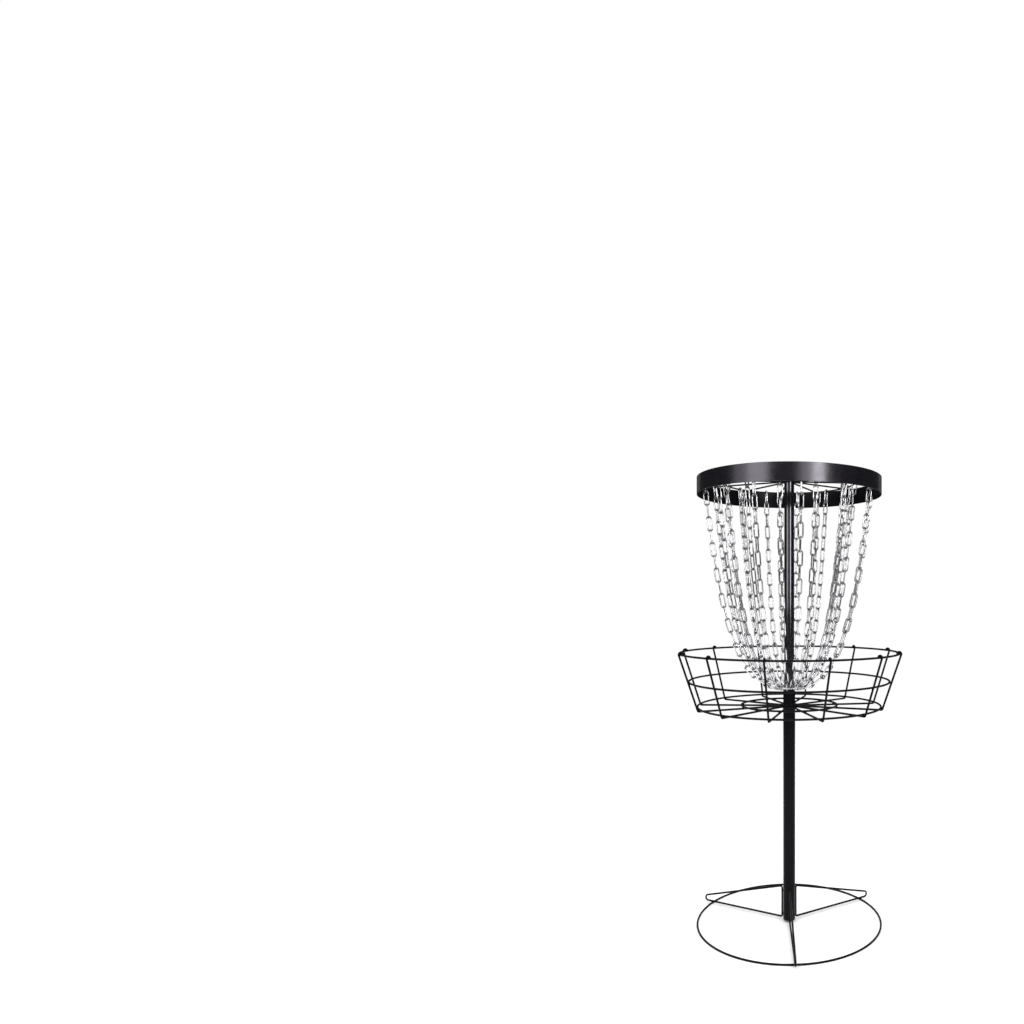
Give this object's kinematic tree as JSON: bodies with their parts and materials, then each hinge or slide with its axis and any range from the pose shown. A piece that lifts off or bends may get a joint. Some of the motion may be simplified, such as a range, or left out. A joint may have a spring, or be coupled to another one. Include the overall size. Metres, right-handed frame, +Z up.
{
  "type": "disc golf basket",
  "caption": "Free-standing disc golf practice basket: wire ring base, pole, round wire catch basket, chains hung from a steel band.",
  "frame": {"origin": "on the ground, on the pole's axis", "axes": "+Z up the pole, -Y towards the front leg"},
  "size_m": [0.6599, 0.66, 1.324],
  "materials": {
    "tube_coat": "satin black powder coat",
    "wire_coat": "satin black powder coat",
    "band_coat": "satin black powder coat",
    "plastic": "moulded black",
    "zinc_chain": "bright zinc plated",
    "zinc_ring": "bright zinc plated"
  },
  "bodies": {
    "base": {"lower_tube": "tube_coat", "foot_plug": "plastic", "pole_stop": "tube_coat", "base_ring": "wire_coat", "leg_right": "wire_coat", "leg_left": "wire_coat", "leg_front": "wire_coat", "leg_welds": "tube_coat"},
    "basket": {"hub_tube": "tube_coat", "hub_collar": "tube_coat", "rim_ring": "wire_coat", "middle_ring": "wire_coat", "lower_ring": "wire_coat", "floor_ring": "wire_coat", "rib_01": "wire_coat", "rib_02": "wire_coat", "rib_03": "wire_coat", "rib_04": "wire_coat", "rib_05": "wire_coat", "rib_06": "wire_coat", "rib_07": "wire_coat", "rib_08": "wire_coat", "rib_09": "wire_coat", "rib_10": "wire_coat", "rib_11": "wire_coat", "rib_12": "wire_coat"},
    "chain_holder": {"upper_tube": "tube_coat", "top_cap": "plastic", "band": "band_coat", "spokes": "wire_coat", "hanging_ring": "wire_coat"},
    "collector": {"collector_ring": "zinc_ring"},
    "outer_chain_01": {"outer_chain_01": "zinc_chain"},
    "outer_chain_02": {"outer_chain_02": "zinc_chain"},
    "outer_chain_03": {"outer_chain_03": "zinc_chain"},
    "outer_chain_04": {"outer_chain_04": "zinc_chain"},
    "outer_chain_05": {"outer_chain_05": "zinc_chain"},
    "outer_chain_06": {"outer_chain_06": "zinc_chain"},
    "outer_chain_07": {"outer_chain_07": "zinc_chain"},
    "outer_chain_08": {"outer_chain_08": "zinc_chain"},
    "outer_chain_09": {"outer_chain_09": "zinc_chain"},
    "outer_chain_10": {"outer_chain_10": "zinc_chain"},
    "outer_chain_11": {"outer_chain_11": "zinc_chain"},
    "outer_chain_12": {"outer_chain_12": "zinc_chain"},
    "inner_chain_01": {"inner_chain_01": "zinc_chain"},
    "inner_chain_02": {"inner_chain_02": "zinc_chain"},
    "inner_chain_03": {"inner_chain_03": "zinc_chain"},
    "inner_chain_04": {"inner_chain_04": "zinc_chain"},
    "inner_chain_05": {"inner_chain_05": "zinc_chain"},
    "inner_chain_06": {"inner_chain_06": "zinc_chain"},
    "inner_chain_07": {"inner_chain_07": "zinc_chain"},
    "inner_chain_08": {"inner_chain_08": "zinc_chain"},
    "inner_chain_09": {"inner_chain_09": "zinc_chain"},
    "inner_chain_10": {"inner_chain_10": "zinc_chain"},
    "inner_chain_11": {"inner_chain_11": "zinc_chain"},
    "inner_chain_12": {"inner_chain_12": "zinc_chain"}
  },
  "joints": [
    {"name": "basket_lift", "type": "slide", "parent": "base", "child": "basket", "axis": [0, 0, 1], "range_m": [0, 0.7]},
    {"name": "chain_holder_lift", "type": "slide", "parent": "basket", "child": "chain_holder", "axis": [0, 0, 1], "range_m": [0, 0.7]},
    {"name": "collector_lift", "type": "slide", "parent": "chain_holder", "child": "collector", "axis": [0, 0, 1], "range_m": [0, 0.003]},
    {"name": "outer_chain_01_sway", "type": "hinge", "parent": "chain_holder", "child": "outer_chain_01", "pos_m": [0.25133, 0.03309, 1.3165], "axis": [0.322, 0.0424, 0.9458], "range_deg": [-15, 15]},
    {"name": "outer_chain_02_sway", "type": "hinge", "parent": "chain_holder", "child": "outer_chain_02", "pos_m": [0.20111, 0.15432, 1.3165], "axis": [0.2576, 0.1977, 0.9458], "range_deg": [-15, 15]},
    {"name": "outer_chain_03_sway", "type": "hinge", "parent": "chain_holder", "child": "outer_chain_03", "pos_m": [0.09701, 0.2342, 1.3165], "axis": [0.1243, 0.3, 0.9458], "range_deg": [-15, 15]},
    {"name": "outer_chain_04_sway", "type": "hinge", "parent": "chain_holder", "child": "outer_chain_04", "pos_m": [-0.03309, 0.25133, 1.3165], "axis": [-0.0424, 0.322, 0.9458], "range_deg": [-15, 15]},
    {"name": "outer_chain_05_sway", "type": "hinge", "parent": "chain_holder", "child": "outer_chain_05", "pos_m": [-0.15432, 0.20111, 1.3165], "axis": [-0.1977, 0.2576, 0.9458], "range_deg": [-15, 15]},
    {"name": "outer_chain_06_sway", "type": "hinge", "parent": "chain_holder", "child": "outer_chain_06", "pos_m": [-0.2342, 0.09701, 1.3165], "axis": [-0.3, 0.1243, 0.9458], "range_deg": [-15, 15]},
    {"name": "outer_chain_07_sway", "type": "hinge", "parent": "chain_holder", "child": "outer_chain_07", "pos_m": [-0.25133, -0.03309, 1.3165], "axis": [-0.322, -0.0424, 0.9458], "range_deg": [-15, 15]},
    {"name": "outer_chain_08_sway", "type": "hinge", "parent": "chain_holder", "child": "outer_chain_08", "pos_m": [-0.20111, -0.15432, 1.3165], "axis": [-0.2576, -0.1977, 0.9458], "range_deg": [-15, 15]},
    {"name": "outer_chain_09_sway", "type": "hinge", "parent": "chain_holder", "child": "outer_chain_09", "pos_m": [-0.09701, -0.2342, 1.3165], "axis": [-0.1243, -0.3, 0.9458], "range_deg": [-15, 15]},
    {"name": "outer_chain_10_sway", "type": "hinge", "parent": "chain_holder", "child": "outer_chain_10", "pos_m": [0.03309, -0.25133, 1.3165], "axis": [0.0424, -0.322, 0.9458], "range_deg": [-15, 15]},
    {"name": "outer_chain_11_sway", "type": "hinge", "parent": "chain_holder", "child": "outer_chain_11", "pos_m": [0.15432, -0.20111, 1.3165], "axis": [0.1977, -0.2576, 0.9458], "range_deg": [-15, 15]},
    {"name": "outer_chain_12_sway", "type": "hinge", "parent": "chain_holder", "child": "outer_chain_12", "pos_m": [0.2342, -0.09701, 1.3165], "axis": [0.3, -0.1243, 0.9458], "range_deg": [-15, 15]},
    {"name": "inner_chain_01_sway", "type": "hinge", "parent": "chain_holder", "child": "inner_chain_01", "pos_m": [0.18108, 0.07501, 1.31148], "axis": [0.2258, 0.0935, 0.9697], "range_deg": [-15, 15]},
    {"name": "inner_chain_02_sway", "type": "hinge", "parent": "chain_holder", "child": "inner_chain_02", "pos_m": [0.11932, 0.1555, 1.31148], "axis": [0.1488, 0.1939, 0.9697], "range_deg": [-15, 15]},
    {"name": "inner_chain_03_sway", "type": "hinge", "parent": "chain_holder", "child": "inner_chain_03", "pos_m": [0.02558, 0.19432, 1.31148], "axis": [0.0319, 0.2423, 0.9697], "range_deg": [-15, 15]},
    {"name": "inner_chain_04_sway", "type": "hinge", "parent": "chain_holder", "child": "inner_chain_04", "pos_m": [-0.07501, 0.18108, 1.31148], "axis": [-0.0935, 0.2258, 0.9697], "range_deg": [-15, 15]},
    {"name": "inner_chain_05_sway", "type": "hinge", "parent": "chain_holder", "child": "inner_chain_05", "pos_m": [-0.1555, 0.11932, 1.31148], "axis": [-0.1939, 0.1488, 0.9697], "range_deg": [-15, 15]},
    {"name": "inner_chain_06_sway", "type": "hinge", "parent": "chain_holder", "child": "inner_chain_06", "pos_m": [-0.19432, 0.02558, 1.31148], "axis": [-0.2423, 0.0319, 0.9697], "range_deg": [-15, 15]},
    {"name": "inner_chain_07_sway", "type": "hinge", "parent": "chain_holder", "child": "inner_chain_07", "pos_m": [-0.18108, -0.07501, 1.31148], "axis": [-0.2258, -0.0935, 0.9697], "range_deg": [-15, 15]},
    {"name": "inner_chain_08_sway", "type": "hinge", "parent": "chain_holder", "child": "inner_chain_08", "pos_m": [-0.11932, -0.1555, 1.31148], "axis": [-0.1488, -0.1939, 0.9697], "range_deg": [-15, 15]},
    {"name": "inner_chain_09_sway", "type": "hinge", "parent": "chain_holder", "child": "inner_chain_09", "pos_m": [-0.02558, -0.19432, 1.31148], "axis": [-0.0319, -0.2423, 0.9697], "range_deg": [-15, 15]},
    {"name": "inner_chain_10_sway", "type": "hinge", "parent": "chain_holder", "child": "inner_chain_10", "pos_m": [0.07501, -0.18108, 1.31148], "axis": [0.0935, -0.2258, 0.9697], "range_deg": [-15, 15]},
    {"name": "inner_chain_11_sway", "type": "hinge", "parent": "chain_holder", "child": "inner_chain_11", "pos_m": [0.1555, -0.11932, 1.31148], "axis": [0.1939, -0.1488, 0.9697], "range_deg": [-15, 15]},
    {"name": "inner_chain_12_sway", "type": "hinge", "parent": "chain_holder", "child": "inner_chain_12", "pos_m": [0.19432, -0.02558, 1.31148], "axis": [0.2423, -0.0319, 0.9697], "range_deg": [-15, 15]}
  ]
}
